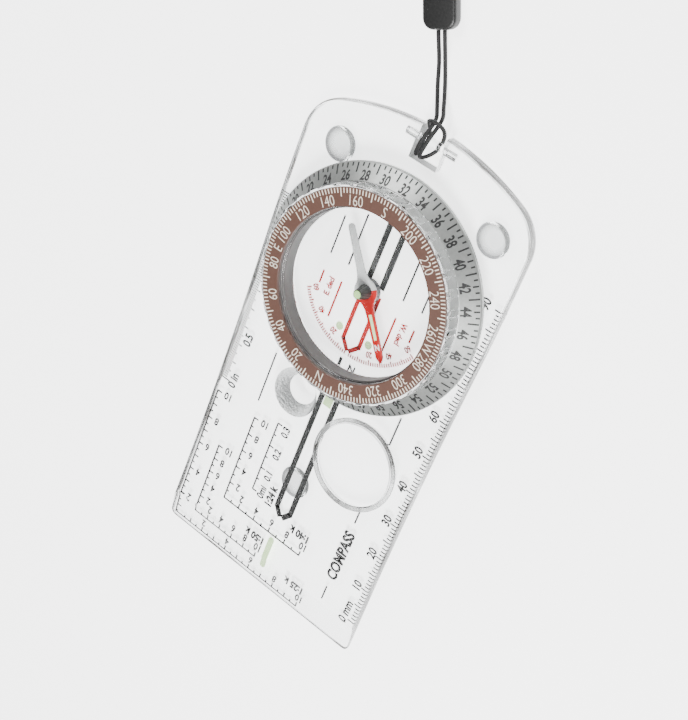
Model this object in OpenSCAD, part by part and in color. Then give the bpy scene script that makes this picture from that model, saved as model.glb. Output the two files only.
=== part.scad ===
// Baseplate compass with a rotating dial, a liquid capsule and a short wrist-cord link.
// Frame: +Z up, +Y along the direction of travel, +X to the right of travel, floor at z = 0.
// The origin is on the centre line, under the middle of the baseplate to within 0.2 mm.

/* [Baseplate] */
// Length along the direction of travel
plate_len = 126; // [120:0.2:135]
// Half width at the narrowest place
waist_half = 29.2; // [29:0.1:30]
// Half width at the rear shoulders
shoulder_half = 30.3; // [29.8:0.1:31]
// Place of the narrowest width along the plate
waist_y = 27; // [20:1:32]
// Radius of the long hollow curve of each side
side_r = 1440; // [1300:10:2000]
// Thickness of the clear sheet
plate_t = 3; // [2.8:0.1:3.4]
// Edge rounding drawn as a bevel
edge_bevel = 0.5; // [0.2:0.1:0.6]
// Radius of the front corners
front_corner_r = 1.6; // [1:0.1:3]
// Radius of the rear shoulders
shoulder_r = 10.3; // [9:0.1:12]
// Radius of the rear edge
rear_r = 61.8; // [60:0.1:66]
// Length of the thinned front strip
wedge_len = 8.7; // [6:0.1:10]
// Thickness of the front edge
front_t = 1; // [0.8:0.1:1.6]

/* [Feet] */
// Height of each foot
foot_h = 1.6; // [1.5:0.1:1.8]
// Radius of each foot
foot_r = 4; // [3.5:0.1:4.5]
// Radius of the flat that touches the ground
foot_flat_r = 1.8; // [1.5:0.1:2]
// Distance of the rear feet from the centre line
rear_foot_x = 20.9; // [19:0.1:21.5]
// Place of the rear feet along the plate
rear_foot_y = -48.3; // [-49:0.1:-47]
// Place of the front foot along the plate
front_foot_y = 31.8; // [30:0.1:33]

/* [Magnifier and marking hole] */
// Magnifier centre, from the centre line
lens_x = -13; // [-13.4:0.1:-12.6]
// Magnifier centre along the plate
lens_y = 16.5; // [16.3:0.1:17.5]
// Radius of the lens seat in the plate
lens_seat_r = 10.3; // [9.5:0.1:10.5]
// Radius of the lens rim on top of the plate
lens_rim_r = 11.3; // [10.8:0.1:11.5]
// Radius of curvature of the lens's upper face
lens_top_r = 42; // [38:1:60]
// Radius of curvature of the lens's lower face
lens_low_r = 110; // [100:5:160]
// Marking hole centre, from the centre line
hole_x = 7.9; // [7.6:0.1:8.6]
// Marking hole centre along the plate
hole_y = 9.9; // [9.8:0.1:11]
// Marking hole radius at the top
hole_top_r = 5.9; // [5.5:0.1:6]
// Marking hole radius at the bottom
hole_low_r = 3.7; // [3.5:0.1:4]

/* [Dial] */
// Place of the dial's axis along the plate
dial_y = -23.5; // [-24:0.1:-23]
// Outer radius of the lower scale ring
mils_r = 28.6; // [28:0.1:28.8]
// Outer radius of the raised housing
step_r = 24.4; // [24.2:0.1:24.6]
// Height of the dial's top above the ground
dial_top = 12.3; // [12:0.1:12.6]
// Number of grip grooves round the housing
grooves = 36; // [24:4:40]
// Radius of the clear window
window_r = 19.15; // [18.9:0.05:19.2]
// Radius of the housing's neck in the plate
neck_r = 22.4; // [22.2:0.1:22.6]
// Running clearance between neck and plate
neck_gap = 0.08; // [0.05:0.01:0.1]

/* [Needle] */
// Length from axis to north tip
north_len = 16.3; // [15:0.1:16.6]
// Length from axis to south tip
south_len = 15.3; // [15:0.1:16.4]
// Blade width
blade_w = 2; // [1.8:0.1:2.4]
// Bearing of the north tip at rest, counter-clockwise from +Y
needle_rest = 38.3; // [0:0.1:60]

/* [Wrist cord] */
// Cord diameter
cord_d = 0.9; // [0.8:0.05:1]
// Radius of the bar that the cord is hitched to
bar_r = 0.9; // [0.8:0.05:1]
// Connector width
conn_w = 8; // [7.5:0.1:9]
// Connector length
conn_len = 24; // [20:1:30]
// Connector thickness
conn_t = 2.8; // [2.7:0.1:3.2]

/* [Hidden] */
$fn = 64;

plate_z = foot_h;
plate_top = foot_h + plate_t;
plate_mid_y = 0.2;
front_y = plate_mid_y + plate_len / 2;
shoulder_x = shoulder_half - shoulder_r;
rear_cy = plate_mid_y + rear_r - plate_len / 2;
shoulder_y = rear_cy - sqrt((rear_r - shoulder_r) ^ 2 - shoulder_x ^ 2);
shoulder_deg = acos(shoulder_x / (rear_r - shoulder_r));

// slot for the cord, open to the rear and crossed by the bar
slot_front = -55;
slot_half = 3.6;
notch_half = 3.3;
bar_y = -59.8;
bar_z = plate_z + plate_t / 2;
bar_half = 6.5;

// dial heights, from the ground
flange_z = plate_top + 0.1;
flange_edge_z = flange_z + 0.25;
mils_edge_t = 0.9;
slope_r = 24.5;
slope_rise = 2.45;
neck_foot = plate_z + 0.1;
neck_in_r = 21.6;
sleeve_r = window_r + 0.5;
sleeve_out_r = sleeve_r + 0.65;
ledge_z = 5.1;
deck_z = dial_top - 0.8;
deck_r = 23.85;
lens_z = dial_top - 1.2;
snap_z = plate_z + 0.3;
snap_t = 0.6;
snap_in_r = neck_r - 0.4;
snap_out_r = 23.2;
snap_seat_r = 23.6;
snap_seat_h = 1;

// capsule
cap_wall_r = 18.6;
cap_low_r = 21.5;
cap_low_in_r = 20.8;
cap_floor = 0.3;
cap_floor_t = 0.7;
cap_base_top = cap_floor + cap_floor_t;

// needle group
blade_z = 4.2;
blade_t = 0.5;
hub_r = 3;
post_clear_r = 1.3;
cap_foot_r = 1.75;
cap_tip_r = 1.05;
cap_tip_z = 9.2;
cap_bore_r = 0.75;
jewel_z = 7.6;
jewel_h = 0.8;
jewel_cup_r = 0.3;
jewel_cup_h = 0.6;
magnet_z = 2.2;
post_r = 0.5;
post_tip_r = 0.26;
post_tip_len = 0.9;

// connector frame
conn_x = 8.84;
conn_y = -81.1;
conn_deg = -65;

function arc(cx, cy, r, a0, a1, n) = [for (i = [0 : n]) let (a = a0 + (a1 - a0) * i / n) [cx + r * cos(a), cy + r * sin(a)]];
function side_x(y, inset) = waist_half - inset + (y - waist_y) ^ 2 / (2 * side_r);
function blend_x(y, inset) =
    let (t = max(0, (-y - 20) / (-shoulder_y - 20)))
    side_x(y, inset) + (shoulder_half - side_x(shoulder_y, 0)) * t * t * (3 - 2 * t);
function flip(p) = [for (i = [len(p) - 1 : -1 : 0]) [-p[i][0], p[i][1]]];
function right_half(inset) = let (y_top = front_y - front_corner_r) concat(
    arc(0, rear_cy, rear_r - inset, -90, -shoulder_deg, 10),
    arc(shoulder_x, shoulder_y, shoulder_r - inset, -shoulder_deg + 8, 0, 7),
    [for (y = [-42 : 8 : 54]) [blend_x(y, inset), y]],
    arc(side_x(y_top, 0) - front_corner_r, y_top, front_corner_r - inset, 0, 90, 4));
function outline(inset) =
    let (half = right_half(inset), left = flip(half))
    concat(half, [for (i = [0 : len(left) - 2]) left[i]]);

module plate_blank() {
    levels = [[plate_z, edge_bevel], [plate_z + edge_bevel, 0], [plate_top - edge_bevel, 0], [plate_top, edge_bevel]];
    count = len(outline(0));
    points = [for (l = levels) for (p = outline(l[1])) [p[0], p[1], l[0]]];
    sides = [for (k = [0 : len(levels) - 2]) for (i = [0 : count - 1])
        let (j = (i + 1) % count) [k * count + i, (k + 1) * count + i, (k + 1) * count + j, k * count + j]];
    bottom = [for (i = [0 : count - 1]) i];
    top = [for (i = [count - 1 : -1 : 0]) (len(levels) - 1) * count + i];
    polyhedron(points, concat(sides, [bottom, top]), convexity = 4);
}

module ring(r_in, r_out, z0, z1) {
    rotate_extrude() polygon([[r_in, z0], [r_out, z0], [r_out, z1], [r_in, z1]]);
}

module on_dial() {
    translate([0, dial_y, 0]) children();
}

module baseplate() {
    wedge_deg = atan((plate_t - front_t) / wedge_len);
    color("whitesmoke", 0.4) difference() {
        plate_blank();
        translate([0, front_y - wedge_len, plate_top]) rotate([-wedge_deg, 0, 0])
            translate([-40, 0, 0]) cube([80, 20, 10]);
        on_dial() translate([0, 0, plate_z - 1]) cylinder(r = neck_r + neck_gap, h = plate_t + 2);
        on_dial() translate([0, 0, plate_z - 1]) cylinder(r = snap_seat_r, h = snap_seat_h + 1);
        translate([lens_x, lens_y, plate_z - 1]) cylinder(r = lens_seat_r, h = plate_t + 2);
        translate([hole_x, hole_y, plate_z]) cylinder(r1 = hole_low_r, r2 = hole_top_r, h = plate_t);
        translate([-slot_half, bar_y, plate_z - 1]) cube([2 * slot_half, slot_front - bar_y, plate_t + 2]);
        translate([-notch_half, bar_y - 8, plate_z - 1]) cube([2 * notch_half, 8.1, plate_t + 2]);
        translate([-bar_half, bar_y, bar_z]) rotate([0, 90, 0]) cylinder(r = bar_r, h = 2 * bar_half);
    }
}

module magnifier_lens() {
    low = plate_z - 0.1;
    crown = plate_top + 1.8;
    rim_top = plate_top + 0.7;
    color("aliceblue", 0.5) translate([lens_x, lens_y, 0]) rotate_extrude() polygon(concat(
        arc(0, low + lens_low_r, lens_low_r, -90, asin(lens_seat_r / lens_low_r) - 90, 6),
        [[lens_seat_r, plate_top], [lens_rim_r, plate_top], [lens_rim_r, rim_top - 0.2], [lens_rim_r - 0.2, rim_top]],
        arc(0, crown - lens_top_r, lens_top_r, 90 - asin((lens_seat_r - 0.1) / lens_top_r), 90, 10)));
}

module foot(x, y) {
    centre_up = (foot_r ^ 2 - foot_flat_r ^ 2 - foot_h ^ 2) / (2 * foot_h);
    color("lightgray", 0.6) translate([x, y, 0]) intersection() {
        cylinder(r = foot_r + 1, h = foot_h);
        translate([0, 0, foot_h + centre_up]) sphere(r = sqrt(foot_r ^ 2 + centre_up ^ 2));
    }
}

module foot_front() {
    foot(0, front_foot_y);
}

module foot_rear_right() {
    foot(rear_foot_x, rear_foot_y);
}

module foot_rear_left() {
    foot(-rear_foot_x, rear_foot_y);
}

module lanyard_bar() {
    color("whitesmoke", 0.5) translate([-bar_half, bar_y, bar_z]) rotate([0, 90, 0])
        cylinder(r = bar_r, h = 2 * bar_half);
}

// cord route: one strand out of the connector, over the bar and back under it
strand_a = [[9.52, -80.75, 1.4], [8.9, -79.42, 1.4], [7.2, -74.8, 0.5], [5.6, -70.6, 0.5], [4.2, -67.9, 0.9],
    [2.8, -66.3, 2], [1.6, -65.2, 3.2], [1.2, -64, 4], [1.4, -62.4, 4.5], [1.7, -60.6, 5], [2.1, -58.6, 4.9],
    [2.5, -56.7, 4.2], [2.8, -55.8, 3.1], [2.8, -56.5, 1.9], [2.8, -58.2, 1.4], [2.6, -59.8, 1.4],
    [2.5, -61.4, 1.9], [2.5, -62.9, 3], [2.3, -63.9, 4.3]];
// top of the loop, over both strands
crown = [[1.5, -64.5, 5.2], [0.6, -64.8, 5.5]];
strand_b = [[-0.4, -64.6, 5.1], [-1.3, -64, 4.3], [-1.7, -62.8, 3.3], [-1.5, -61.4, 2.3], [-1.1, -59.8, 1.5],
    [-0.6, -58.2, 1.4], [0.2, -56.8, 1.8], [1, -55.9, 2.6], [1.5, -55.8, 3.6], [1.2, -57, 4.6], [0.8, -58.8, 5],
    [0.3, -61.4, 4.9], [0, -64.1, 3.9], [0.3, -65.7, 3], [1.4, -67.1, 2], [2.7, -68.9, 1], [4.2, -71.8, 0.5],
    [6, -75.7, 0.5], [7.52, -80.06, 1.4], [8.14, -81.39, 1.4]];
cord_route = concat(strand_a, crown, strand_b);

function unit(v) = v / norm(v);
function knot(p, i) = p[min(max(i, 0), len(p) - 1)];
function spline(p, i, t) =
    let (a = knot(p, i - 1), b = p[i], c = p[i + 1], d = knot(p, i + 2))
    0.5 * (2 * b + (c - a) * t + (2 * a - 5 * b + 4 * c - d) * t ^ 2 + (3 * b - a - 3 * c + d) * t ^ 3);
function refine(p, n) = concat([for (i = [0 : len(p) - 2]) for (k = [0 : n - 1]) spline(p, i, k / n)], [p[len(p) - 1]]);
function tangent(p, i) = unit(knot(p, i + 1) - knot(p, i - 1));
function carry(p, i, n) = let (t = tangent(p, i)) unit(n - t * (n * t));
function normals(p, i = 0, n = [0, 0, 1]) =
    i == len(p) ? [] : let (m = carry(p, i, n)) concat([m], normals(p, i + 1, m));

module tube(route, r, sides) {
    up = normals(route);
    points = [for (i = [0 : len(route) - 1]) let (t = tangent(route, i), b = cross(t, up[i]))
        for (k = [0 : sides - 1]) route[i] + r * (cos(360 * k / sides) * up[i] + sin(360 * k / sides) * b)];
    walls = [for (i = [0 : len(route) - 2]) for (k = [0 : sides - 1])
        let (j = (k + 1) % sides) [i * sides + k, i * sides + j, (i + 1) * sides + j, (i + 1) * sides + k]];
    start = [for (k = [sides - 1 : -1 : 0]) k];
    finish = [for (k = [0 : sides - 1]) (len(route) - 1) * sides + k];
    polyhedron(points, concat(walls, [start, finish]), convexity = 10);
}

module lanyard_cord() {
    color("black") tube(refine(cord_route, 2), cord_d / 2, 8);
}

module cord_connector() {
    corner = 2.4;
    half = conn_w / 2 - corner;
    color("dimgray") translate([conn_x, conn_y, 0]) rotate([0, 0, conn_deg]) difference() {
        linear_extrude(conn_t) polygon(concat(
            arc(corner, -half, corner, 180, 270, 6),
            arc(conn_len - corner, -half, corner, -90, 0, 6),
            arc(conn_len - corner, half, corner, 0, 90, 6),
            arc(corner, half, corner, 90, 180, 6)));
        translate([conn_len - 5, -2.6, -1]) cube([2.4, 5.2, conn_t + 2]);
        translate([-1, -half - corner - 1, conn_t - 0.7]) rotate([0, -14, 0]) cube([3, conn_w + 2, 4]);
    }
}

module dial_housing() {
    color("white", 0.4) on_dial() difference() {
        rotate_extrude() polygon([
            [neck_in_r, neck_foot], [neck_r, neck_foot], [neck_r, snap_z], [snap_in_r, snap_z],
            [snap_in_r, snap_z + snap_t], [neck_r, snap_z + snap_t], [neck_r, flange_z], [mils_r - 0.4, flange_z],
            [mils_r - 0.4, flange_edge_z], [slope_r, flange_edge_z + slope_rise], [step_r, flange_edge_z + slope_rise],
            [step_r, dial_top - 0.1], [deck_r, dial_top - 0.1], [deck_r, deck_z], [sleeve_out_r + 0.05, deck_z],
            [sleeve_out_r + 0.05, ledge_z], [neck_in_r, ledge_z]]);
        for (i = [0 : grooves - 1]) rotate([0, 0, (i + 0.5) * 360 / grooves])
            translate([step_r + 0.25, 0, flange_edge_z + slope_rise + 1.2]) cylinder(r = 0.55, h = 10, $fn = 16);
    }
}

module mils_ring() {
    lip = mils_r - 0.4;
    color("silver") on_dial() rotate_extrude() polygon([
        [lip, flange_z], [mils_r, flange_z], [mils_r, flange_edge_z + mils_edge_t - 0.3],
        [mils_r - 0.15, flange_edge_z + mils_edge_t - 0.15],
        [slope_r + 0.15, flange_edge_z + slope_rise + mils_edge_t], [step_r + 0.05, flange_edge_z + slope_rise + mils_edge_t],
        [step_r + 0.05, flange_edge_z + slope_rise], [slope_r, flange_edge_z + slope_rise], [lip, flange_edge_z]]);
}

module degree_ring() {
    color("sienna") on_dial() ring(sleeve_r, deck_r - 0.05, deck_z, dial_top);
}

module light_sleeve() {
    color("gray") on_dial() ring(sleeve_r, sleeve_out_r, ledge_z + 0.05, deck_z);
}

module capsule_cover() {
    color("azure", 0.4) on_dial() rotate_extrude() polygon([
        [0, lens_z - 1], [cap_wall_r, lens_z - 1], [cap_wall_r, ledge_z + 0.5], [cap_low_in_r, ledge_z - 0.5],
        [cap_low_in_r, cap_base_top], [cap_low_r, cap_base_top], [cap_low_r, ledge_z], [sleeve_r - 0.05, ledge_z],
        [sleeve_r - 0.05, dial_top], [sleeve_r - 0.3, dial_top], [window_r, lens_z], [0, lens_z]]);
}

module capsule_base() {
    color("azure", 0.5) on_dial() translate([0, 0, cap_floor]) cylinder(r = cap_low_r, h = cap_floor_t);
}

module retaining_ring() {
    color("gainsboro") on_dial() ring(snap_in_r, snap_out_r, snap_z, snap_z + snap_t);
}

module pivot_post() {
    tip_z = jewel_z + jewel_cup_h - 0.1;
    color("goldenrod") on_dial() {
        translate([0, 0, cap_base_top]) cylinder(r = 1.2, h = 0.6);
        translate([0, 0, cap_base_top]) cylinder(r = post_r, h = tip_z - post_tip_len - cap_base_top);
        translate([0, 0, tip_z - post_tip_len]) cylinder(r = post_tip_r, h = post_tip_len);
    }
}

module needle_blade() {
    root = blade_w / 2 + 0.35;
    tip = blade_w / 2 - 0.05;
    color("red") on_dial() rotate([0, 0, needle_rest]) translate([0, 0, blade_z]) difference() {
        union() {
            linear_extrude(blade_t) polygon([[root, 0], [tip, north_len - 1.3], [0, north_len],
                [-tip, north_len - 1.3], [-root, 0], [-tip, -south_len + tip], [tip, -south_len + tip]]);
            translate([0, -south_len + tip, 0]) cylinder(r = tip, h = blade_t);
            cylinder(r = hub_r, h = blade_t);
        }
        translate([0, 0, -1]) cylinder(r = post_clear_r, h = blade_t + 2);
    }
}

module needle_magnet() {
    color("dimgray") on_dial() ring(post_clear_r, hub_r - 0.1, magnet_z, blade_z);
}

module hub_cap() {
    foot_z = blade_z + blade_t;
    color("darkslategray") on_dial() difference() {
        translate([0, 0, foot_z]) cylinder(r1 = cap_foot_r, r2 = cap_tip_r, h = cap_tip_z - foot_z);
        translate([0, 0, foot_z - 1]) cylinder(r = cap_bore_r, h = jewel_z + jewel_h - foot_z + 1);
    }
}

module jewel_bearing() {
    color("crimson") on_dial() difference() {
        translate([0, 0, jewel_z]) cylinder(r = cap_bore_r, h = jewel_h);
        translate([0, 0, jewel_z - 1]) cylinder(r = jewel_cup_r, h = jewel_cup_h + 1);
    }
}

module luminous_dot() {
    color("palegreen") on_dial() translate([0, 0, cap_tip_z]) cylinder(r1 = 0.95, r2 = 0.85, h = 0.15);
}

baseplate();
magnifier_lens();
foot_front();
foot_rear_right();
foot_rear_left();
lanyard_bar();
lanyard_cord();
cord_connector();
dial_housing();
mils_ring();
degree_ring();
light_sleeve();
capsule_cover();
capsule_base();
retaining_ring();
pivot_post();
needle_blade();
needle_magnet();
hub_cap();
jewel_bearing();
luminous_dot();
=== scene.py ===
"""Clear baseplate compass lying on a pale floor.

Lengths in this file are in millimetres until mm() turns them into metres.
"""

import math

import bmesh
import bpy
from mathutils import Matrix, Vector


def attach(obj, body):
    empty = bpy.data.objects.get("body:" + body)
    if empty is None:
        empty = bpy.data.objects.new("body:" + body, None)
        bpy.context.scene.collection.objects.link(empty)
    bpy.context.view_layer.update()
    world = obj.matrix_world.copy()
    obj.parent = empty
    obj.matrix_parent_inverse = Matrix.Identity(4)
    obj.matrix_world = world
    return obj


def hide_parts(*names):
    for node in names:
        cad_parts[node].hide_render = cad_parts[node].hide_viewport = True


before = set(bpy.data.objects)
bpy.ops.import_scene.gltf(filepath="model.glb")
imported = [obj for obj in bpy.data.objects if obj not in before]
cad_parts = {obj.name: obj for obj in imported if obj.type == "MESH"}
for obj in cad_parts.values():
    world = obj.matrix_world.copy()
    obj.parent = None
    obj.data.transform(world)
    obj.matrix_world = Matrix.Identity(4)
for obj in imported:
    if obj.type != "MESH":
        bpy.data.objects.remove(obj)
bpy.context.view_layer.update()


def mm(value):
    return value * 0.001


# ---------------------------------------------------------------- dimensions
PLATE_LOW, PLATE_TOP = 1.6, 4.6
FRONT_Y = 63.2
WEDGE_Y, FRONT_THICK = 54.5, 1.0
DIAL_Y = -23.5
DIAL_HOLE_R, DIAL_RECESS_R, DIAL_RECESS_TOP = 22.48, 23.6, 2.6
DIAL_TOP = 12.3
WINDOW_Z = 11.1
BAR_Y, BAR_Z, BAR_R = -59.8, 3.1, 0.9
NEEDLE_REST = 38.3
BLADE_LOW, BLADE_TOP = 4.22, 4.7
POST_CLEAR_R = 1.3
LENS_AT, LENS_HOLE_R = (-13.0, 16.5), 10.4
HOLE_AT, HOLE_TOP_R = (7.9, 9.9), 6.3
SLOT_HALF, SLOT_FRONT_Y = 3.6, -55
FEET = {"foot_front": (0, 31.8), "foot_rear_right": (20.9, -48.3), "foot_rear_left": (-20.9, -48.3)}
INK = 0.02

# ---------------------------------------------------------------- camera
CAMERA_AT = (-126.47, -165.11, 268.34)
CAMERA_RIGHT = (-0.7567, -0.3322, -0.5631)
CAMERA_DOWN = (-0.5336, 0.8115, 0.2382)
CAMERA_LENS = 73.92


def make_camera():
    right = Vector(CAMERA_RIGHT).normalized()
    up = -Vector(CAMERA_DOWN).normalized()
    back = right.cross(up).normalized()
    up = back.cross(right)
    data = bpy.data.cameras.new("camera")
    data.lens = CAMERA_LENS
    data.sensor_width = 36
    data.clip_start, data.clip_end = 0.01, 20
    camera = bpy.data.objects.new("camera", data)
    bpy.context.collection.objects.link(camera)
    turn = Matrix((right, up, back)).transposed().to_4x4()
    camera.matrix_world = Matrix.Translation(Vector([mm(v) for v in CAMERA_AT])) @ turn
    bpy.context.scene.camera = camera


make_camera()


# ---------------------------------------------------------------- materials
def shader(name):
    """A new material with its node helpers and its Principled shader."""
    material = bpy.data.materials.new(name)
    material.use_nodes = True
    nodes, links = material.node_tree.nodes, material.node_tree.links
    return material, nodes, links, nodes["Principled BSDF"]


def grain(nodes, links, scale, detail=3.0):
    """Noise fixed to the object."""
    where = nodes.new("ShaderNodeTexCoord")
    noise = nodes.new("ShaderNodeTexNoise")
    noise.inputs["Scale"].default_value = scale
    noise.inputs["Detail"].default_value = detail
    links.new(where.outputs["Object"], noise.inputs["Vector"])
    return noise


def blend_colour(nodes, links, factor, dark, light, span=(0.3, 0.7)):
    """Runs from dark to light as the factor crosses the span."""
    ramp = nodes.new("ShaderNodeValToRGB")
    ramp.color_ramp.elements[0].position = span[0]
    ramp.color_ramp.elements[1].position = span[1]
    ramp.color_ramp.elements[0].color = (*dark, 1)
    ramp.color_ramp.elements[1].color = (*light, 1)
    links.new(factor, ramp.inputs["Fac"])
    return ramp.outputs["Color"]


def vary(nodes, links, factor, low, high, socket):
    spread = nodes.new("ShaderNodeMapRange")
    spread.inputs["To Min"].default_value = low
    spread.inputs["To Max"].default_value = high
    links.new(factor, spread.inputs["Value"])
    links.new(spread.outputs["Result"], socket)


def roughen(nodes, links, height, depth, strength, surface):
    bump = nodes.new("ShaderNodeBump")
    bump.inputs["Distance"].default_value = depth
    bump.inputs["Strength"].default_value = strength
    links.new(height, bump.inputs["Height"])
    links.new(bump.outputs["Normal"], surface.inputs["Normal"])


def solid(name, dark, light, rough, scale=900.0, metal=0.0, bump=0.2, coat=0.0):
    """An opaque finish whose colour, gloss and relief vary a little."""
    material, nodes, links, surface = shader(name)
    noise = grain(nodes, links, scale)
    links.new(blend_colour(nodes, links, noise.outputs["Fac"], dark, light), surface.inputs["Base Color"])
    vary(nodes, links, noise.outputs["Fac"], rough[0], rough[1], surface.inputs["Roughness"])
    roughen(nodes, links, noise.outputs["Fac"], 0.00004, bump, surface)
    surface.inputs["Metallic"].default_value = metal
    surface.inputs["Coat Weight"].default_value = coat
    return material


def clear(name, tint, ior, rough=0.0, grain_scale=None, through=1.0):
    """Clear plastic. Lamps and dull bounces go straight through it; everything else is refracted."""
    material, nodes, links, surface = shader(name)
    surface.inputs["Base Color"].default_value = (*tint, 1)
    surface.inputs["Roughness"].default_value = rough
    surface.inputs["IOR"].default_value = ior
    surface.inputs["Transmission Weight"].default_value = through
    if grain_scale:
        noise = grain(nodes, links, grain_scale, 6.0)
        roughen(nodes, links, noise.outputs["Fac"], 0.0003, 0.9, surface)
    see_through = nodes.new("ShaderNodeBsdfTransparent")
    see_through.inputs["Color"].default_value = (*tint, 1)
    path = nodes.new("ShaderNodeLightPath")
    mix = nodes.new("ShaderNodeMixShader")
    either = nodes.new("ShaderNodeMath")
    either.operation = "MAXIMUM"
    links.new(path.outputs["Is Shadow Ray"], either.inputs[0])
    links.new(path.outputs["Is Diffuse Ray"], either.inputs[1])
    links.new(either.outputs["Value"], mix.inputs["Fac"])
    links.new(surface.outputs["BSDF"], mix.inputs[1])
    links.new(see_through.outputs["BSDF"], mix.inputs[2])
    links.new(mix.outputs["Shader"], nodes["Material Output"].inputs["Surface"])
    return material


def streaky(name, dark, light, ior):
    """Edge of clear plastic with painted reflections: long darker and lighter streaks stand in for the
    surroundings seen in the edge.
    """
    material = clear(name, light, ior, 0.06, None, 0.75)
    nodes, links = material.node_tree.nodes, material.node_tree.links
    surface = nodes["Principled BSDF"]
    where = nodes.new("ShaderNodeTexCoord")
    squeeze = nodes.new("ShaderNodeMapping")
    squeeze.inputs["Scale"].default_value = (1, 1, 12)
    noise = nodes.new("ShaderNodeTexNoise")
    noise.inputs["Scale"].default_value = 90
    noise.inputs["Detail"].default_value = 6
    links.new(where.outputs["Object"], squeeze.inputs["Vector"])
    links.new(squeeze.outputs["Vector"], noise.inputs["Vector"])
    # Painted reflections: the colour runs in dark and light streaks along the edge.
    colour = blend_colour(nodes, links, noise.outputs["Fac"], dark, light, (0.38, 0.6))
    links.new(colour, surface.inputs["Base Color"])
    return material


def rimmed(name, dark, light, ior):
    """Clear moulded rubber with painted shade: its colour darkens where the surface turns steep."""
    material = clear(name, light, ior, 0.06, None, 0.85)
    nodes, links = material.node_tree.nodes, material.node_tree.links
    where = nodes.new("ShaderNodeTexCoord")
    split = nodes.new("ShaderNodeSeparateXYZ")
    steep = nodes.new("ShaderNodeMath")
    steep.operation = "ABSOLUTE"
    links.new(where.outputs["Normal"], split.inputs["Vector"])
    links.new(split.outputs["Z"], steep.inputs[0])
    # Painted shade: the colour goes dark where the surface normal leans away from upright.
    colour = blend_colour(nodes, links, steep.outputs["Value"], dark, light, (0.8, 0.96))
    links.new(colour, nodes["Principled BSDF"].inputs["Base Color"])
    return material


def woven(name):
    """Tight black braid: two sets of crossed bands."""
    material, nodes, links, surface = shader(name)
    where = nodes.new("ShaderNodeTexCoord")
    heights = []
    for turn in (0.7, -0.7):
        lean = nodes.new("ShaderNodeMapping")
        lean.inputs["Rotation"].default_value = (0.4, turn, turn)
        band = nodes.new("ShaderNodeTexWave")
        band.inputs["Scale"].default_value = 900
        links.new(where.outputs["Object"], lean.inputs["Vector"])
        links.new(lean.outputs["Vector"], band.inputs["Vector"])
        heights.append(band.outputs["Fac"])
    both = nodes.new("ShaderNodeMath")
    both.operation = "MULTIPLY"
    links.new(heights[0], both.inputs[0])
    links.new(heights[1], both.inputs[1])
    colour = blend_colour(nodes, links, both.outputs["Value"], (0.004, 0.004, 0.004), (0.016, 0.016, 0.017))
    links.new(colour, surface.inputs["Base Color"])
    roughen(nodes, links, both.outputs["Value"], 0.00008, 0.6, surface)
    surface.inputs["Roughness"].default_value = 0.7
    return material


ACRYLIC = clear("clear_acrylic", (0.985, 0.992, 0.99), 1.49)
# The edge finish carries painted reflections: its dark and light streaks stand in for the surroundings seen
# in the edges.
EDGE = streaky("edge_acrylic", (0.02, 0.018, 0.016), (0.8, 0.81, 0.81), 1.49)
FROSTED = clear("frosted_acrylic", (0.4, 0.41, 0.41), 1.49, 0.35, 1500.0, 0.6)
MILKY = clear("front_strip_acrylic", (0.96, 0.965, 0.965), 1.49, 0.03, None, 0.94)
LENS = clear("clear_lens", (0.985, 0.99, 0.99), 1.49)
# The silicone's dark rim is painted shade.
SILICONE = rimmed("clear_silicone", (0.03, 0.03, 0.032), (0.78, 0.79, 0.79), 1.41)
HOUSING = clear("clear_housing", (0.975, 0.98, 0.98), 1.49, 0.02)
CAPSULE = clear("clear_capsule", (0.99, 0.993, 0.993), 1.49)
FLUID = clear("clear_fluid", (0.998, 0.999, 0.998), 1.27)
BRAID = woven("cord_black")
CONNECTOR = solid("connector_black", (0.008, 0.008, 0.008), (0.014, 0.014, 0.014), (0.38, 0.5), 2500.0,
                  bump=0.4)
GREY_RING = solid("mils_grey", (0.29, 0.3, 0.29), (0.34, 0.35, 0.34), (0.32, 0.42), 1500.0,
                  metal=0.6, bump=0.1)
BROWN_RING = solid("degree_brown", (0.083, 0.041, 0.03), (0.098, 0.048, 0.035), (0.42, 0.52), 1800.0,
                   bump=0.15)
SLEEVE = solid("sleeve_grey", (0.075, 0.07, 0.068), (0.092, 0.087, 0.085), (0.5, 0.6), 1200.0)
SNAP = solid("snap_white", (0.55, 0.55, 0.54), (0.62, 0.62, 0.61), (0.4, 0.5))
POST = solid("post_brass", (0.5, 0.33, 0.12), (0.6, 0.42, 0.17), (0.2, 0.3), metal=1.0, bump=0.05)
RED_PAINT = solid("needle_red", (0.42, 0.004, 0.003), (0.48, 0.006, 0.005), (0.25, 0.33), coat=0.3, bump=0.05)
GREY_PAINT = solid("needle_grey", (0.50, 0.51, 0.51), (0.56, 0.57, 0.57), (0.3, 0.38), coat=0.2, bump=0.05)
MAGNET = solid("magnet_black", (0.012, 0.012, 0.012), (0.03, 0.03, 0.03), (0.4, 0.55))
CAP = solid("cap_dark", (0.012, 0.013, 0.011), (0.022, 0.024, 0.02), (0.35, 0.5))
JEWEL = solid("jewel_red", (0.35, 0.01, 0.03), (0.45, 0.015, 0.04), (0.05, 0.1), bump=0.02)
GLOW = solid("luminous_green", (0.4, 0.66, 0.24), (0.48, 0.74, 0.3), (0.55, 0.7))
PALE_GLOW = solid("luminous_pale", (0.6, 0.84, 0.42), (0.68, 0.9, 0.5), (0.6, 0.7))
BLACK_INK = solid("ink_black", (0.005, 0.005, 0.005), (0.009, 0.009, 0.009), (0.5, 0.6), bump=0.05)
RED_INK = solid("ink_red", (0.38, 0.003, 0.003), (0.44, 0.006, 0.006), (0.4, 0.5), bump=0.05)
CREAM_INK = solid("ink_cream", (0.74, 0.66, 0.56), (0.82, 0.74, 0.64), (0.5, 0.6), bump=0.05)
WHITE_INK = solid("ink_white", (0.8, 0.8, 0.79), (0.86, 0.86, 0.85), (0.5, 0.6), bump=0.05)


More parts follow.
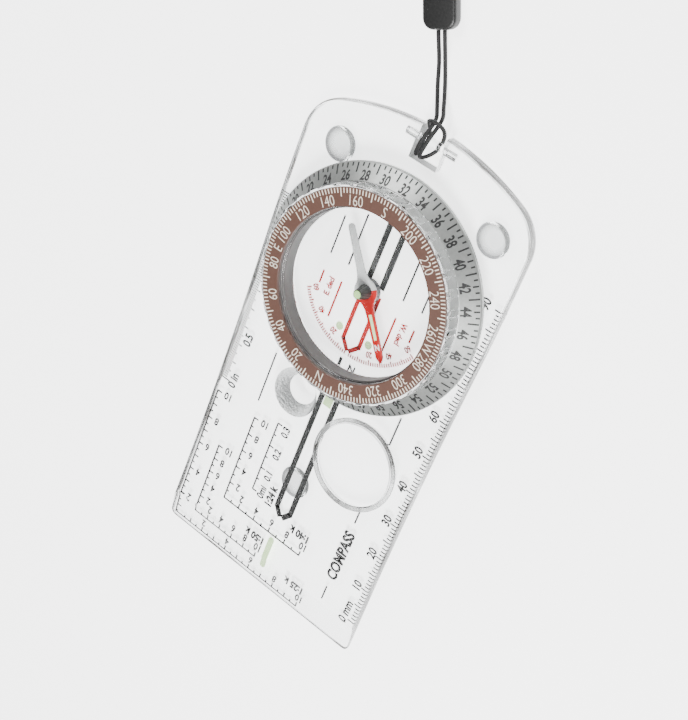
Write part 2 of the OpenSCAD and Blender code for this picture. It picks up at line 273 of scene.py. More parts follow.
# ---------------------------------------------------------------- shapes
def piece(name, shape, material, body, slot, *nodes, sharp=35):
    """Makes a mesh object from (points in mm, faces), puts it on a body and lets it stand for CAD nodes."""
    points, faces = shape
    mesh = bpy.data.meshes.new(name)
    mesh.from_pydata([[mm(v) for v in p] for p in points], [], faces)
    mesh.validate()
    obj = bpy.data.objects.new(name, mesh)
    bpy.context.collection.objects.link(obj)
    return finish_piece(obj, material, body, slot, *nodes, sharp=sharp)


def finish_piece(obj, material, body, slot, *nodes, sharp=35):
    obj.data.materials.append(material)
    obj.data.shade_smooth()
    obj.data.set_sharp_from_angle(angle=math.radians(sharp))
    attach(obj, body)
    if nodes:
        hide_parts(*nodes)
    return obj


def joined(*shapes):
    points, faces = [], []
    for more_points, more_faces in shapes:
        start = len(points)
        points += more_points
        faces += [[start + i for i in face] for face in more_faces]
    return points, faces


def soften(profile, size, steps=3):
    """Rounds the corners of a closed (radius, height) outline, leaving points on the axis."""
    out = []
    for k, point in enumerate(profile):
        here = Vector(point)
        before = Vector(profile[k - 1]) - here
        after = Vector(profile[(k + 1) % len(profile)]) - here
        straight = abs(before.normalized().dot(after.normalized())) > 0.99
        if point[0] == 0 or straight:
            out.append(point)
            continue
        reach = min(size, 0.45 * before.length, 0.45 * after.length)
        start, end = here + before.normalized() * reach, here + after.normalized() * reach
        out.append(tuple(here + before.normalized() * reach * 1.08))
        for i in range(steps + 1):
            t = i / steps
            out.append(tuple(start * (1 - t) ** 2 + here * 2 * t * (1 - t) + end * t * t))
        out.append(tuple(here + after.normalized() * reach * 1.08))
    return out


def lathe(profile, centre=(0, 0), steps=128, radius=None):
    """Turns a closed outline about a vertical axis. The outline runs upwards on its outer side."""
    points, rings = [], []
    for r, z in profile:
        if r == 0:
            rings.append([len(points)] * steps)
            points.append((centre[0], centre[1], z))
            continue
        ring = []
        for i in range(steps):
            angle = 2 * math.pi * i / steps
            reach = radius(r, z, angle) if radius else r
            ring.append(len(points))
            points.append((centre[0] + reach * math.cos(angle), centre[1] + reach * math.sin(angle), z))
        rings.append(ring)
    faces = []
    for k, low in enumerate(rings):
        high = rings[(k + 1) % len(rings)]
        for i in range(steps):
            j = (i + 1) % steps
            corners = list(dict.fromkeys([low[i], low[j], high[j], high[i]]))
            if len(corners) > 2:
                faces.append(corners)
    return points, faces


def rod(radius, low, high, centre=(0, 0), steps=128):
    """A plain upright cylinder."""
    return lathe([(0, low), (radius, low), (radius, high), (0, high)], centre, steps)


def arc(cx, cy, r, start, end, steps):
    """Points of an arc, angles in degrees."""
    turn = [math.radians(start + (end - start) * i / steps) for i in range(steps + 1)]
    return [(cx + r * math.cos(a), cy + r * math.sin(a)) for a in turn]


def stack(rings):
    """A solid from horizontal rings of equal counts, each (outline, height), closed at both ends."""
    count = len(rings[0][0])
    points = [(x, y, z) for outline, z in rings for x, y in outline]
    faces = [list(range(count))[::-1]]
    for k in range(len(rings) - 1):
        for i in range(count):
            j = (i + 1) % count
            faces.append([k * count + i, k * count + j, (k + 1) * count + j, (k + 1) * count + i])
    faces.append([(len(rings) - 1) * count + i for i in range(count)])
    return points, faces


def shrunk(outline, by):
    """The outline moved inwards by a small distance. It runs counter-clockwise."""
    out = []
    for k, point in enumerate(outline):
        here = Vector(point)
        a = (here - Vector(outline[k - 1])).normalized()
        b = (Vector(outline[(k + 1) % len(outline)]) - here).normalized()
        inward = Vector((-a.y - b.y, a.x + b.x)).normalized()
        out.append(tuple(here + inward * by))
    return out


def slab(outline, low, high, edge, steps=3):
    """A flat solid with rounded edges."""
    rings = []
    for i in range(steps + 1):
        turn = math.pi / 2 * i / steps
        rings.append((shrunk(outline, edge * (1 - math.sin(turn))), low + edge * (1 - math.cos(turn))))
    for i in range(steps + 1):
        turn = math.pi / 2 * i / steps
        rings.append((shrunk(outline, edge * (1 - math.cos(turn))), high - edge * (1 - math.sin(turn))))
    return stack(rings)


def box(low, high):
    outline = [(low[0], low[1]), (high[0], low[1]), (high[0], high[1]), (low[0], high[1])]
    return stack([(outline, low[2]), (outline, high[2])])


def turned(shape, matrix):
    return [tuple(matrix @ Vector(p)) for p in shape[0]], shape[1]


def cut(name, shape, cutters):
    """The shape less its cutters, as a new object."""
    made = []
    for index, (points, faces) in enumerate([shape, *cutters]):
        mesh = bpy.data.meshes.new(f"{name}_{index}")
        mesh.from_pydata([[mm(v) for v in p] for p in points], [], faces)
        made.append(bpy.data.objects.new(f"{name}_{index}", mesh))
        bpy.context.collection.objects.link(made[-1])
    target = made[0]
    for cutter in made[1:]:
        step = target.modifiers.new("cut", "BOOLEAN")
        step.operation = "DIFFERENCE"
        step.solver = "EXACT"
        step.object = cutter
    graph = bpy.context.evaluated_depsgraph_get()
    mesh = bpy.data.meshes.new_from_object(target.evaluated_get(graph))
    mesh.name = name
    for old in made:
        bpy.data.objects.remove(old)
    obj = bpy.data.objects.new(name, mesh)
    bpy.context.collection.objects.link(obj)
    return obj


# ---------------------------------------------------------------- baseplate
def side_x(y):
    return 29.2 + (y - 27) ** 2 / 2880


def plate_outline():
    """Counter-clockwise from the middle of the rear edge."""
    right = arc(0, -1.0, 61.8, -90, -67.4, 16)
    right += arc(20, -48.46, 10.3, -63, 0, 14)
    right += [(side_x(y) - 0.85 * max(0.0, (-y - 20) / 28) ** 2, y) for y in range(-44, 60, 4)]
    right += arc(side_x(FRONT_Y - 1.6) - 1.6, FRONT_Y - 1.6, 1.6, 0, 90, 5)
    left = [(-x, y) for x, y in right[:0:-1]]
    return right + left


def wedge_top(shape):
    """Tilts a shape to the slope of the thin front strip."""
    slope = (PLATE_TOP - PLATE_LOW - FRONT_THICK) / (FRONT_Y - WEDGE_Y)
    tilt = Matrix.Translation((0, WEDGE_Y, PLATE_TOP)) @ Matrix.Rotation(-math.atan(slope), 4, "X")
    return turned(shape, tilt)


def across_bar(shape):
    """Lays an upright shape along the cord's bar."""
    return turned(shape, Matrix.Translation((0, BAR_Y, BAR_Z)) @ Matrix.Rotation(math.pi / 2, 4, "Y"))


def spot(at):
    """A place on the plate, in metres."""
    return Vector((mm(at[0]), mm(at[1])))


def make_plate():
    hole = [(0, 0), (3.3, 0), (3.7, 1.62), (5.7, 4.3), (HOLE_TOP_R, 4.9), (HOLE_TOP_R, 6), (0, 6)]
    cutters = [
        wedge_top(box((-40, 0, 0), (40, 20, 10))),
        rod(DIAL_HOLE_R, 0, 8, (0, DIAL_Y), 192),
        rod(DIAL_RECESS_R, 0, DIAL_RECESS_TOP, (0, DIAL_Y), 192),
        rod(LENS_HOLE_R, 0, 8, LENS_AT, 96),
        lathe(hole, HOLE_AT, 72),
        box((-SLOT_HALF, BAR_Y, 0), (SLOT_HALF, SLOT_FRONT_Y, 8)),
        box((0.3 - SLOT_HALF, -70, 0), (SLOT_HALF - 0.3, BAR_Y + 0.1, 8)),
        across_bar(rod(BAR_R + 0.04, -6.55, 6.55, steps=32)),
    ]
    obj = cut("baseplate_sheet", slab(plate_outline(), PLATE_LOW, PLATE_TOP, 0.6, 5), cutters)
    finish_piece(obj, ACRYLIC, "plate", "clear_acrylic", "baseplate", sharp=28)
    for extra in (FROSTED, EDGE, MILKY):
        obj.data.materials.append(extra)
    frosted, edge, milky = 1, 2, 3
    for face in obj.data.polygons:
        middle, rise = face.center, abs(face.normal.z)
        in_hole = (middle.xy - spot(HOLE_AT)).length < mm(HOLE_TOP_R + 0.1)
        in_slot = abs(middle.x) < mm(SLOT_HALF + 0.1) and middle.y < mm(SLOT_FRONT_Y + 0.1)
        if (in_hole or in_slot) and rise < 0.9:
            face.material_index = frosted
        # Side walls take the edge finish with its painted reflection streaks.
        elif rise < 0.95:
            face.material_index = edge
        elif middle.y > mm(WEDGE_Y) and 0.95 < face.normal.z < 0.99:
            face.material_index = milky
        if rise > 0.9999:
            face.use_smooth = False


make_plate()
bar = soften([(0, -6.45), (BAR_R, -6.45), (BAR_R, 6.45), (0, 6.45)], 0.15)
piece("bar_pin", across_bar(lathe(bar, steps=48)), ACRYLIC, "plate", "clear_acrylic", "lanyard_bar")


def dome(radius, sag, z, up, steps, inner=0.0):
    """Arc of a lens face from the axis side outwards: its middle stands sag above its edge."""
    curve = (radius ** 2 + sag ** 2) / (2 * sag)
    reach = [radius + (inner - radius) * i / steps for i in range(steps + 1)]
    side = 1 if up else -1
    return [(r, z + side * (math.sqrt(curve ** 2 - r ** 2) - (curve - sag))) for r in reach]


def make_lens():
    top = dome(9.9, 1.25, 5.15, True, 24)
    under = dome(10.3, 0.5, 2.0, False, 16)[::-1]
    # The first two points of the rim's rounding lie inside the glass, so they are left out.
    rim = soften([(10.3, 4.62), (11.3, 4.62), (11.3, 5.3), (10.1, 5.3), (9.95, 5.1)], 0.22)[2:]
    obj = piece("lens_glass", lathe(under + [(10.3, 4.6)] + rim + top, LENS_AT, 128), LENS, "plate",
                "clear_lens", "magnifier_lens")
    obj.data.materials.append(EDGE)
    for face in obj.data.polygons:
        # The rim takes the edge finish with its painted reflection streaks.
        if (face.center.xy - spot(LENS_AT)).length > mm(10.0):
            face.material_index = 1


make_lens()
for foot, foot_at in FEET.items():
    profile = dome(4.0, 1.6, 1.58, False, 16, 1.8)[::-1]
    profile = [(0, profile[0][1])] + profile + [(4.0, 1.58), (0, 1.58)]
    piece(f"{foot}_dome", lathe(profile, foot_at, 64), SILICONE, "plate", "silicone", foot, sharp=50)


# ---------------------------------------------------------------- cord
STRAND_A = [(9.52, -80.75, 1.4), (8.9, -79.42, 1.4), (7.2, -74.8, 0.5), (5.6, -70.6, 0.5), (4.2, -67.9, 0.9),
            (2.8, -66.3, 2), (1.6, -65.2, 3.2), (1.2, -64, 4), (1.4, -62.4, 4.5), (1.7, -60.6, 5),
            (2.1, -58.6, 4.9), (2.5, -56.7, 4.2), (2.8, -55.8, 3.1), (2.8, -56.5, 1.9),
            (2.8, -58.2, 1.4), (2.6, -59.8, 1.4), (2.5, -61.4, 1.9), (2.5, -62.9, 3), (2.3, -63.9, 4.3)]
CROWN = [(1.5, -64.5, 5.2), (0.6, -64.8, 5.5)]
STRAND_B = [(-0.4, -64.6, 5.1), (-1.3, -64, 4.3), (-1.7, -62.8, 3.3), (-1.5, -61.4, 2.3), (-1.1, -59.8, 1.5),
            (-0.6, -58.2, 1.4), (0.2, -56.8, 1.8), (1, -55.9, 2.6), (1.5, -55.8, 3.6), (1.2, -57, 4.6),
            (0.8, -58.8, 5), (0.3, -61.4, 4.9), (0, -64.1, 3.9), (0.3, -65.7, 3), (1.4, -67.1, 2),
            (2.7, -68.9, 1), (4.2, -71.8, 0.5), (6, -75.7, 0.5), (7.52, -80.06, 1.4), (8.14, -81.39, 1.4)]
CORD_D = 0.9
CONNECTOR_AT, CONNECTOR_TURN = (8.84, -81.1), -65
CONNECTOR_SIZE = (24, 8.0, 2.8)


def through(route, steps):
    """Points of a smooth line through the route."""
    line = []
    for i in range(len(route) - 1):
        a, b, c, d = (Vector(route[min(max(i + k, 0), len(route) - 1)]) for k in (-1, 0, 1, 2))
        for k in range(steps):
            t = k / steps
            line.append(0.5 * (2 * b + (c - a) * t + (2 * a - 5 * b + 4 * c - d) * t ** 2
                               + (3 * b - a - 3 * c + d) * t ** 3))
    return line + [Vector(route[-1])]


def make_connector():
    length, width, height = CONNECTOR_SIZE
    half = width / 2
    place = Matrix.Translation((*CONNECTOR_AT, 0)) @ Matrix.Rotation(math.radians(CONNECTOR_TURN), 4, "Z")
    outline = (arc(2.4, 2.4 - half, 2.4, 180, 270, 8) + arc(length - 2.4, 2.4 - half, 2.4, -90, 0, 8)
               + arc(length - 2.4, half - 2.4, 2.4, 0, 90, 8) + arc(2.4, half - 2.4, 2.4, 90, 180, 8))
    bores = [turned(rod(0.5, -1, 4, steps=24),
                    place @ Matrix.Translation((0, y, 1.4)) @ Matrix.Rotation(math.pi / 2, 4, "Y"))
             for y in (-0.76, 0.76)]
    strap = turned(box((length - 5, -2.6, -1), (length - 2.6, 2.6, height + 1)), place)
    ribs = [turned(box((x, -half - 1, height - 0.25), (x + 0.5, half + 1, height + 1)), place)
            for x in (9, 10.5, 12, 13.5)]
    obj = cut("connector_body", turned(slab(outline, 0, height, 0.7, 4), place), [*bores, strap, *ribs])
    return finish_piece(obj, CONNECTOR, "plate", "connector_black", "cord_connector", sharp=28)


def make_cord(connector):
    line = through(STRAND_A + CROWN + STRAND_B, 6)
    data = bpy.data.curves.new("cord_line", "CURVE")
    data.dimensions = "3D"
    data.bevel_depth = mm(CORD_D / 2)
    data.bevel_resolution = 4
    data.use_fill_caps = True
    spline = data.splines.new("POLY")
    spline.points.add(len(line) - 1)
    for point, at in zip(spline.points, line):
        point.co = (*[mm(v) for v in at], 1)
    cord = bpy.data.objects.new("cord_line", data)
    bpy.context.collection.objects.link(cord)
    data.materials.append(BRAID)
    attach(cord, "plate")
    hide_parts("lanyard_cord")


make_cord(make_connector())


# ---------------------------------------------------------------- dial
FLUTES = 36


def fluted(r, z, angle):
    """Shallow grip dashes round the clear step."""
    if r < 24.2 or r > 24.45 or z < 11.5:
        return r
    wave = math.sin(FLUTES * angle)
    return r - 0.22 * min(1.0, max(0.0, wave * 4))


def make_dial():
    housing = [(21.6, 1.7), (22.4, 1.7), (22.4, 1.9), (22.0, 1.9), (22.0, 2.5), (22.4, 2.5), (22.4, 4.7),
               (28.15, 4.7), (28.15, 4.93), (24.5, 7.37), (24.4, 7.4), (24.4, 11.3), (24.4, 11.6),
               (24.4, 12.15), (23.9, 12.15), (23.9, 11.47), (20.36, 11.47), (20.36, 5.14), (21.6, 5.14)]
    piece("housing_shell", lathe(soften(housing, 0.12, 2), (0, DIAL_Y), 432, fluted), HOUSING, "dial",
          "housing_clear", "dial_housing")
    grey = [(28.2, 4.72), (28.6, 4.72), (28.6, 5.6), (28.45, 5.78), (24.62, 8.32), (24.46, 8.32),
            (24.46, 7.45), (28.2, 4.98)]
    piece("mils_cone", lathe(soften(grey, 0.12), (0, DIAL_Y), 192), GREY_RING, "dial", "mils_grey",
          "mils_ring")
    brown = [(19.66, 11.5), (23.84, 11.5), (23.84, DIAL_TOP), (19.66, DIAL_TOP)]
    piece("degree_plate", lathe(soften(brown, 0.12), (0, DIAL_Y), 192), BROWN_RING, "dial", "degree_brown",
          "degree_ring")
    back = [(20.02, 5.18), (20.3, 5.18), (20.3, 11.46), (20.02, 11.46)]
    piece("sleeve_back", lathe(soften(back, 0.05, 2), (0, DIAL_Y), 192), SNAP, "dial", "sleeve_grey")
    wall = [(19.15, 5.18), (20.0, 5.18), (20.0, 11.46), (19.66, 11.46), (19.66, 10.05), (19.15, 10.05)]
    piece("sleeve_wall", lathe(soften(wall, 0.05, 2), (0, DIAL_Y), 192), SLEEVE, "dial", "sleeve_grey",
          "light_sleeve")
    window = [(0, 10.1), (19.6, 10.1), (19.6, WINDOW_Z), (0, WINDOW_Z)]
    skirt = [(20.8, 1.02), (21.5, 1.02), (21.5, 5.1), (19.4, 5.1), (19.4, 4.6), (20.8, 4.6)]
    piece("capsule_shell", joined(lathe(soften(window, 0.12), (0, DIAL_Y), 192),
                                  lathe(soften(skirt, 0.12), (0, DIAL_Y), 192)), CAPSULE, "dial",
          "capsule_clear", "capsule_cover")
    base = [(0, 0.32), (21.5, 0.32), (21.5, 1.0), (0, 1.0)]
    piece("capsule_floor", lathe(soften(base, 0.15), (0, DIAL_Y), 192), CAPSULE, "dial", "capsule_clear",
          "capsule_base")
    fluid = [(0, 1.04), (20.76, 1.04), (20.76, 4.56), (19.36, 4.56), (19.36, 10.06), (0, 10.06)]
    piece("capsule_fluid", lathe(fluid, (0, DIAL_Y), 192), FLUID, "dial", "capsule_clear")


make_dial()


def hub_rib(r, z, angle):
    return r * (1 - 0.06 * (1 + math.cos(16 * angle)) / 2) if z < 9.1 else r


def needle_half(length, round_tip):
    """Counter-clockwise outline of half the needle along +Y, with half of its hole for the post."""
    right = arc(0, 0, 2.95, 0, 50, 8) + [(1.5, 2.95), (1.22, 3.9), (1.08, 5.2)]
    if round_tip:
        right += arc(0, length - 0.85, 0.85, 0, 90, 6)
    else:
        right += [(0.95, length - 1.4), (0.85, length - 1.15), (0.15, length - 0.05)]
    left = [(-x, y) for x, y in right[::-1] if x > 0.001]
    return right + left + arc(0, 0, POST_CLEAR_R, 180, 0, 12)


def make_needle():
    pivot = Matrix.Translation((0, DIAL_Y, 0)) @ Matrix.Rotation(math.radians(NEEDLE_REST), 4, "Z")
    back = pivot @ Matrix.Rotation(math.pi, 4, "Z")
    north = slab(needle_half(16.3, False), BLADE_LOW, BLADE_TOP, 0.08)
    south = slab(needle_half(15.3, True), BLADE_LOW, BLADE_TOP, 0.08)
    piece("needle_north", turned(north, pivot), RED_PAINT, "needle", "needle_paint", "needle_blade")
    piece("needle_south", turned(south, back), GREY_PAINT, "needle", "needle_paint", "needle_blade")
    magnet = [(POST_CLEAR_R, 2.2), (2.9, 2.2), (2.9, 4.2), (POST_CLEAR_R, 4.2)]
    piece("magnet_ring", lathe(soften(magnet, 0.12), (0, DIAL_Y), 64), MAGNET, "needle", "magnet_black",
          "needle_magnet")
    cone = [(0, 8.4), (0.75, 8.4), (0.75, 4.72), (1.75, 4.72), (1.7, 5.3), (1.1, 9.05), (1.0, 9.2), (0, 9.2)]
    piece("cap_cone", lathe(soften(cone, 0.06), (0, DIAL_Y), 96, hub_rib), CAP, "needle", "cap_dark",
          "hub_cap")
    dot = [(0, 9.2), (0.92, 9.2), (0.8, 9.34), (0, 9.36)]
    piece("glow_dot", lathe(dot, (0, DIAL_Y), 48), GLOW, "needle", "luminous_green", "luminous_dot")


make_needle()
for kept, finish in {"retaining_ring": SNAP, "pivot_post": POST, "jewel_bearing": JEWEL}.items():
    made = bpy.data.objects[kept]
    made.data.materials.clear()
    made.data.materials.append(finish)


# ---------------------------------------------------------------- printing
GLYPHS = {}
THIN, THICK = 0.42, 1.45
SCALE_TEXT, RULER_TEXT = 1.95, 2.2


def glyph(text, weight):
    """A line of text as a thin solid one unit tall per capital, centred, with w from 0 to 1."""
    if (text, weight) in GLYPHS:
        return GLYPHS[text, weight]
    data = bpy.data.curves.new("glyph", "FONT")
    data.body = text
    data.extrude = 0.5
    data.resolution_u = 3
    data.offset = weight
    obj = bpy.data.objects.new("glyph", data)
    bpy.context.collection.objects.link(obj)
    bpy.context.view_layer.update()
    mesh = bpy.data.meshes.new_from_object(obj.evaluated_get(bpy.context.evaluated_depsgraph_get()))
    tidy = bmesh.new()
    tidy.from_mesh(mesh)
    bmesh.ops.remove_doubles(tidy, verts=tidy.verts, dist=1e-5)
    points = [tuple(v.co) for v in tidy.verts]
    tidy.verts.index_update()
    faces = [[v.index for v in f.verts] for f in tidy.faces]
    tidy.free()
    bpy.data.objects.remove(obj)
    low = [min(p[k] for p in points) for k in (0, 1)]
    high = [max(p[k] for p in points) for k in (0, 1)]
    middle = (low[0] + high[0]) / 2
    points = [((x - middle) / 0.7, (y - 0.35) / 0.7, z + 0.5) for x, y, z in points]
    GLYPHS[text, weight] = (points, faces)
    return GLYPHS[text, weight]


class Ink:
    """Thin printed solids of one colour, laid on a surface by place(x, y, w)."""

    def __init__(self, place):
        self.place = place
        self.points, self.faces = [], []

    def add(self, flat, faces):
        start = len(self.points)
        self.points += [self.place(x, y, w) for x, y, w in flat]
        self.faces += [[start + i for i in face] for face in faces]

    def shape(self, outline):
        count = len(outline)
        flat = [(x, y, w) for w in (0, 1) for x, y in outline]
        sides = [[i, (i + 1) % count, count + (i + 1) % count, count + i] for i in range(count)]
        self.add(flat, [list(range(count))[::-1], list(range(count, 2 * count)), *sides])

    def line(self, a, b, width):
        along = (Vector(b) - Vector(a)).normalized()
        across = Vector((-along.y, along.x)) * width / 2
        a, b = Vector(a), Vector(b)
        self.shape([tuple(p) for p in (a - across, b - across, b + across, a + across)])

    def text(self, words, at, height, turn=0.0, narrow=0.85, weight=0.035):
        points, faces = glyph(words, weight)
        c, s = math.cos(math.radians(turn)), math.sin(math.radians(turn))
        moved = []
        for x, y, w in points:
            x, y = x * height * narrow, y * height
            moved.append((at[0] + c * x - s * y, at[1] + s * x + c * y, w))
        self.add(moved, faces)

    def done(self, name, material, body, slot):
        return piece(name, (self.points, self.faces), material, body, slot, sharp=20)


def under_plate(x, y, w):
    return (x, y, PLATE_LOW - 0.03 + INK * w)


def on_degree_ring(x, y, w):
    return (x, DIAL_Y + y, DIAL_TOP + INK * (w - 0.3))


def on_cone(x, y, w):
    r = math.hypot(x, y)
    return (x, DIAL_Y + y, 5.78 + (28.45 - r) * 2.54 / 3.83 + INK * (w - 0.3) + 0.01)


def under_capsule(x, y, w):
    return (x, DIAL_Y + y, 0.27 + INK * w)


def on_needle(x, y, w):
    c, s = math.cos(math.radians(NEEDLE_REST)), math.sin(math.radians(NEEDLE_REST))
    return (c * x - s * y, DIAL_Y + s * x + c * y, BLADE_TOP + INK * (w - 0.2))


def clockwise(radius, degrees):
    return (radius * math.sin(math.radians(degrees)), radius * math.cos(math.radians(degrees)))


def dial_line(ink, degrees, outer, inner, width):
    ink.line(clockwise(outer, degrees), clockwise(inner, degrees), width)


def romer(ink, corner_x, corner_y, start_x, start_y, step, halves, label):
    """An L-shaped map scale: one leg along -Y at corner_x and one along -X at corner_y."""
    count = 20 if halves else 10
    unit = step / 2 if halves else step
    ink.line((corner_x, start_y - 10 * step - 0.1), (corner_x, corner_y + 0.1), THIN)
    ink.line((start_x - 10 * step - 0.1, corner_y), (corner_x + 0.1, corner_y), THIN)
    for k in range(1, count + 1):
        long = k % 2 == 0
        reach = 1.3 if long else 0.75
        y, x = start_y - k * unit, start_x - k * unit
        ink.line((corner_x, y), (corner_x - reach, y), THIN)
        ink.line((x, corner_y), (x, corner_y - reach), THIN)
    for number in (2, 4, 6, 8, 10):
        wide = 0.5 if number == 10 else 0
        ink.text(str(number), (corner_x - 2.7 - wide, start_y - number * step), SCALE_TEXT)
        ink.text(str(number), (start_x - number * step, corner_y - 2.7), SCALE_TEXT)
    ink.text(label, (start_x - 9.6 * step + 1.2, corner_y - 5.1), SCALE_TEXT, weight=0.055)


def print_rulers(ink):
    """A 90 mm rule on one side and a two-inch rule in fortieths of an inch on the other."""
    mm_zero, inch_zero, fortieth = 54.8, 19.6, 0.635
    for k in range(0, 91):
        reach = 2.5 if k % 5 == 0 else 1.8
        y = mm_zero - k
        outer = -side_x(y) + 0.35
        ink.line((outer, y), (outer + reach, y), 0.36)
    for number in range(10, 91, 10):
        ink.text(str(number), (-25.2, mm_zero - number), RULER_TEXT, -90)
    ink.text("0 mm", (-25.2, 53.2), RULER_TEXT, -90)
    for k in range(0, 81):
        reach = 2.4 if k % 8 == 0 else 1.9 if k % 4 == 0 else 1.4
        y = inch_zero - k * fortieth
        outer = side_x(y) - 0.35
        ink.line((outer, y), (outer - reach, y), 0.34)
    ink.text("0 in", (25.6, 18.8), RULER_TEXT, -90)
    ink.text("0.5", (25.6, 7.0), RULER_TEXT, -90)


def print_plate():
    ink = Ink(under_plate)
    print_rulers(ink)
    romer(ink, 28.6, 62.2, 27.5, 63.7, 4.0, True, "1:25 k")
    romer(ink, 23.0, 57.5, 22.9, 56.9, 2.0, False, "1:50 k")
    romer(ink, 16.5, 48.7, 16.7, 48.8, 2.5, False, "1:40 k")
    mile, mile_zero = 67.056, 41.12  # one mile at 1:24 000
    ink.line((10.0, 41.2 - 0.3 * mile), (10.0, 41.2), THIN)
    for k in range(0, 7):
        y = mile_zero - k * 0.05 * mile
        ink.line((10.0, y), (10.0 - (1.3 if k % 2 == 0 else 0.8), y), THIN)
    for number in ("0.1", "0.2", "0.3"):
        ink.text(number, (7.3, mile_zero - float(number) * mile + 1.0), SCALE_TEXT, -90)
    ink.text("0mi", (7.4, 40.3), SCALE_TEXT, -90)
    ink.text("1:24 k", (4.6, 39.4), SCALE_TEXT, -90, weight=0.055)
    for side in (-1, 1):
        ink.line((side * 2.1, 5.4), (side * 2.1, 41.0), THICK)
        ink.line((side * 2.1, 40.6), (side * 0.3, 42.9), THICK)
    ink.line((-18.3, 0.0), (-18.3, 8.9), THIN)
    ink.line((-18.3, 27.0), (-18.3, 31.0), THIN)
    ink.line((-18.3, 50.8), (-18.3, 54.8), THIN)
    ink.line((17.2, 5.2), (17.2, 19.2), THIN)
    ink.text("COMPASS", (-18.3, 41.0), 2.7, -90, 0.85, 0.045)
    ink.done("plate_print", BLACK_INK, "plate", "clear_acrylic")
    glow = Ink(under_plate)
    glow.shape([(x, y) for x, y in arc(0, 58.0, 0.8, 0, 180, 8) + arc(0, 50.2, 0.8, 180, 360, 8)])
    glow.shape([(-1.2, 5.0), (1.2, 5.0), (1.2, 9.2), (-1.2, 9.2)])
    glow.done("plate_glow_print", PALE_GLOW, "plate", "luminous_green")


def print_degrees():
    ink = Ink(on_degree_ring)
    for degree in range(0, 360, 2):
        inner = 21.8 if degree % 20 == 10 and degree % 90 else 22.6
        dial_line(ink, degree, 23.68, inner, 0.24)
    letters = {0: "N", 90: "E", 180: "S", 270: "W"}
    for degree in [*range(0, 360, 20), 90, 270]:
        ink.text(letters.get(degree, str(degree)), clockwise(21.15, degree), 2.35, -degree, 0.8, -0.012)
    ink.done("degree_print", CREAM_INK, "dial", "degree_brown")


def print_mils():
    ink = Ink(on_cone)
    for mark in range(0, 128):
        inner = 27.55 if mark % 2 else 26.3 if mark % 4 == 2 else 27.2
        dial_line(ink, mark * 360 / 128, 28.3, inner, 0.38)
    for number in range(2, 65, 2):
        ink.text(str(number), clockwise(25.85, number * 360 / 64), 1.95, -number * 360 / 64, 0.82, 0.03)
    ink.done("mils_print", BLACK_INK, "dial", "mils_grey")


def print_capsule():
    black = Ink(under_capsule)
    for side in (-1, 1):
        black.line((side * 1.95, -0.9), (side * 1.95, -20.4), THICK)
        black.line((side * 7.8, -1.6), (side * 7.8, -14.6), 0.45)
        black.line((side * 13.0, -1.6), (side * 13.0, -11.3), THIN)
    black.line((0.8, 19.0), (0.8, 21.9), 0.8)
    black.text("N", (-2.6, 20.3), 1.9, 0, 0.95)
    black.done("capsule_black_print", BLACK_INK, "dial", "capsule_clear")
    red = Ink(under_capsule)
    for side in (-1, 1):
        red.line((side * 7.8, 2.9), (side * 7.8, 12.2), 0.48)
        red.line((side * 13.0, 2.9), (side * 13.0, 6.2), 0.48)
        red.line((side * 2.3, 1.0), (side * 2.3, 14.8), 1.05)
        red.line((side * 2.3, 14.4), (side * 0.2, 16.8), 1.05)
        for degree in range(2, 62, 2):
            inner = 16.6 if degree % 10 == 0 else 17.0
            dial_line(red, side * degree, 17.9, inner, 0.3)
        for degree in (20, 40, 60):
            red.text(str(degree), clockwise(15.4, side * degree), 1.4, -side * degree, 0.8)
    red.text("E. decl", (10.4, 5.6), 1.45, -90, 0.85)
    red.text("W. decl", (-10.4, 5.6), 1.45, 90, 0.85)
    red.done("capsule_red_print", RED_INK, "dial", "capsule_clear")
    glow = Ink(under_capsule)
    for side in (-1, 1):
        glow.shape(arc(side * 4.2, 12.5, 1.0, 0, 345, 23))
    glow.done("capsule_glow_print", PALE_GLOW, "dial", "luminous_green")


def print_needle():
    glow = Ink(on_needle)
    glow.shape([(-0.4, 5.2), (0.4, 5.2), (0.35, 11.0), (-0.35, 11.0)])
    glow.done("needle_glow_strip", PALE_GLOW, "needle", "luminous_green")
    white = Ink(on_needle)
    white.text("N", (0, 12.7), 1.3, 0, 0.9)
    white.done("needle_letter", WHITE_INK, "needle", "needle_paint")


print_plate()
print_degrees()
print_mils()
print_capsule()
print_needle()


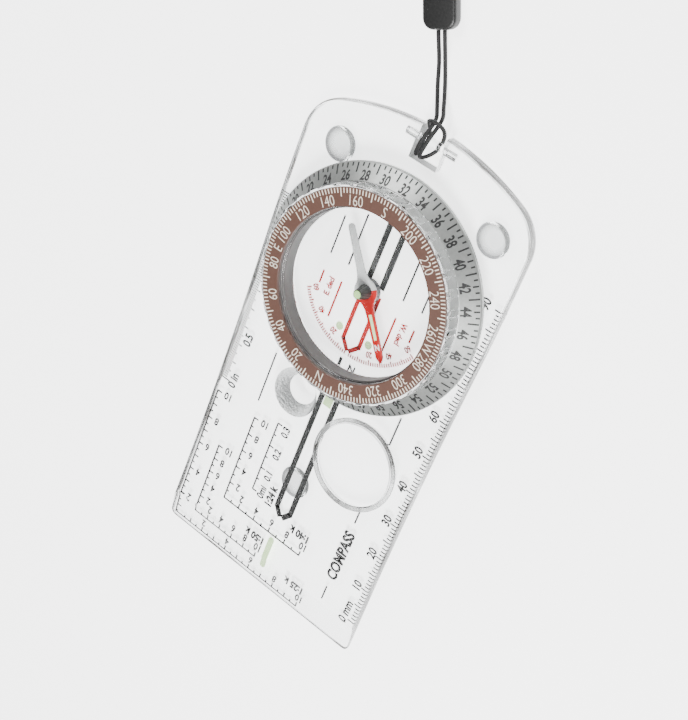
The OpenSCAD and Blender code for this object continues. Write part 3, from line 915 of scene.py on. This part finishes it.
# ---------------------------------------------------------------- floor and light
def make_floor():
    points, faces = box((-1500, -1500, -6), (1500, 1500, 0))
    mesh = bpy.data.meshes.new("floor")
    mesh.from_pydata([[mm(v) for v in p] for p in points], [], faces)
    floor = bpy.data.objects.new("floor", mesh)
    bpy.context.collection.objects.link(floor)
    material, nodes, links, surface = shader("floor_white")
    noise = grain(nodes, links, 6.0)
    colour = blend_colour(nodes, links, noise.outputs["Fac"], (0.83, 0.83, 0.83), (0.85, 0.85, 0.85))
    links.new(colour, surface.inputs["Base Color"])
    surface.inputs["Roughness"].default_value = 0.7
    surface.inputs["Specular IOR Level"].default_value = 0.1
    surface.inputs["Emission Color"].default_value = (1, 1, 1, 1)
    surface.inputs["Emission Strength"].default_value = 2.9
    mesh.materials.append(material)


def make_lamp(name, at, size, power, aim):
    data = bpy.data.lights.new(name, "AREA")
    data.shape = "DISK"
    data.size = mm(size)
    data.energy = power
    lamp = bpy.data.objects.new(name, data)
    bpy.context.collection.objects.link(lamp)
    lamp.location = [mm(v) for v in at]
    lamp.rotation_euler = (Vector(aim) - Vector(at)).to_track_quat("-Z", "Y").to_euler()


def make_world():
    world = bpy.data.worlds.new("studio")
    world.use_nodes = True
    nodes, links = world.node_tree.nodes, world.node_tree.links
    where = nodes.new("ShaderNodeTexCoord")
    split = nodes.new("ShaderNodeSeparateXYZ")
    ramp = nodes.new("ShaderNodeValToRGB")
    ramp.color_ramp.elements[0].position = 0.0
    ramp.color_ramp.elements[0].color = (0.22, 0.22, 0.225, 1)
    ramp.color_ramp.elements[1].position = 0.75
    ramp.color_ramp.elements[1].color = (1, 1, 1, 1)
    middle = ramp.color_ramp.elements.new(0.3)
    middle.color = (0.5, 0.5, 0.505, 1)
    links.new(where.outputs["Generated"], split.inputs["Vector"])
    links.new(split.outputs["Z"], ramp.inputs["Fac"])
    links.new(ramp.outputs["Color"], nodes["Background"].inputs["Color"])
    nodes["Background"].inputs["Strength"].default_value = 0.1
    bpy.context.scene.world = world


make_floor()
make_world()
make_lamp("key", (-250, 150, 500), 260, 7.6, (0, 0, 0))
make_lamp("fill", (300, -350, 420), 300, 3.6, (0, 0, 0))
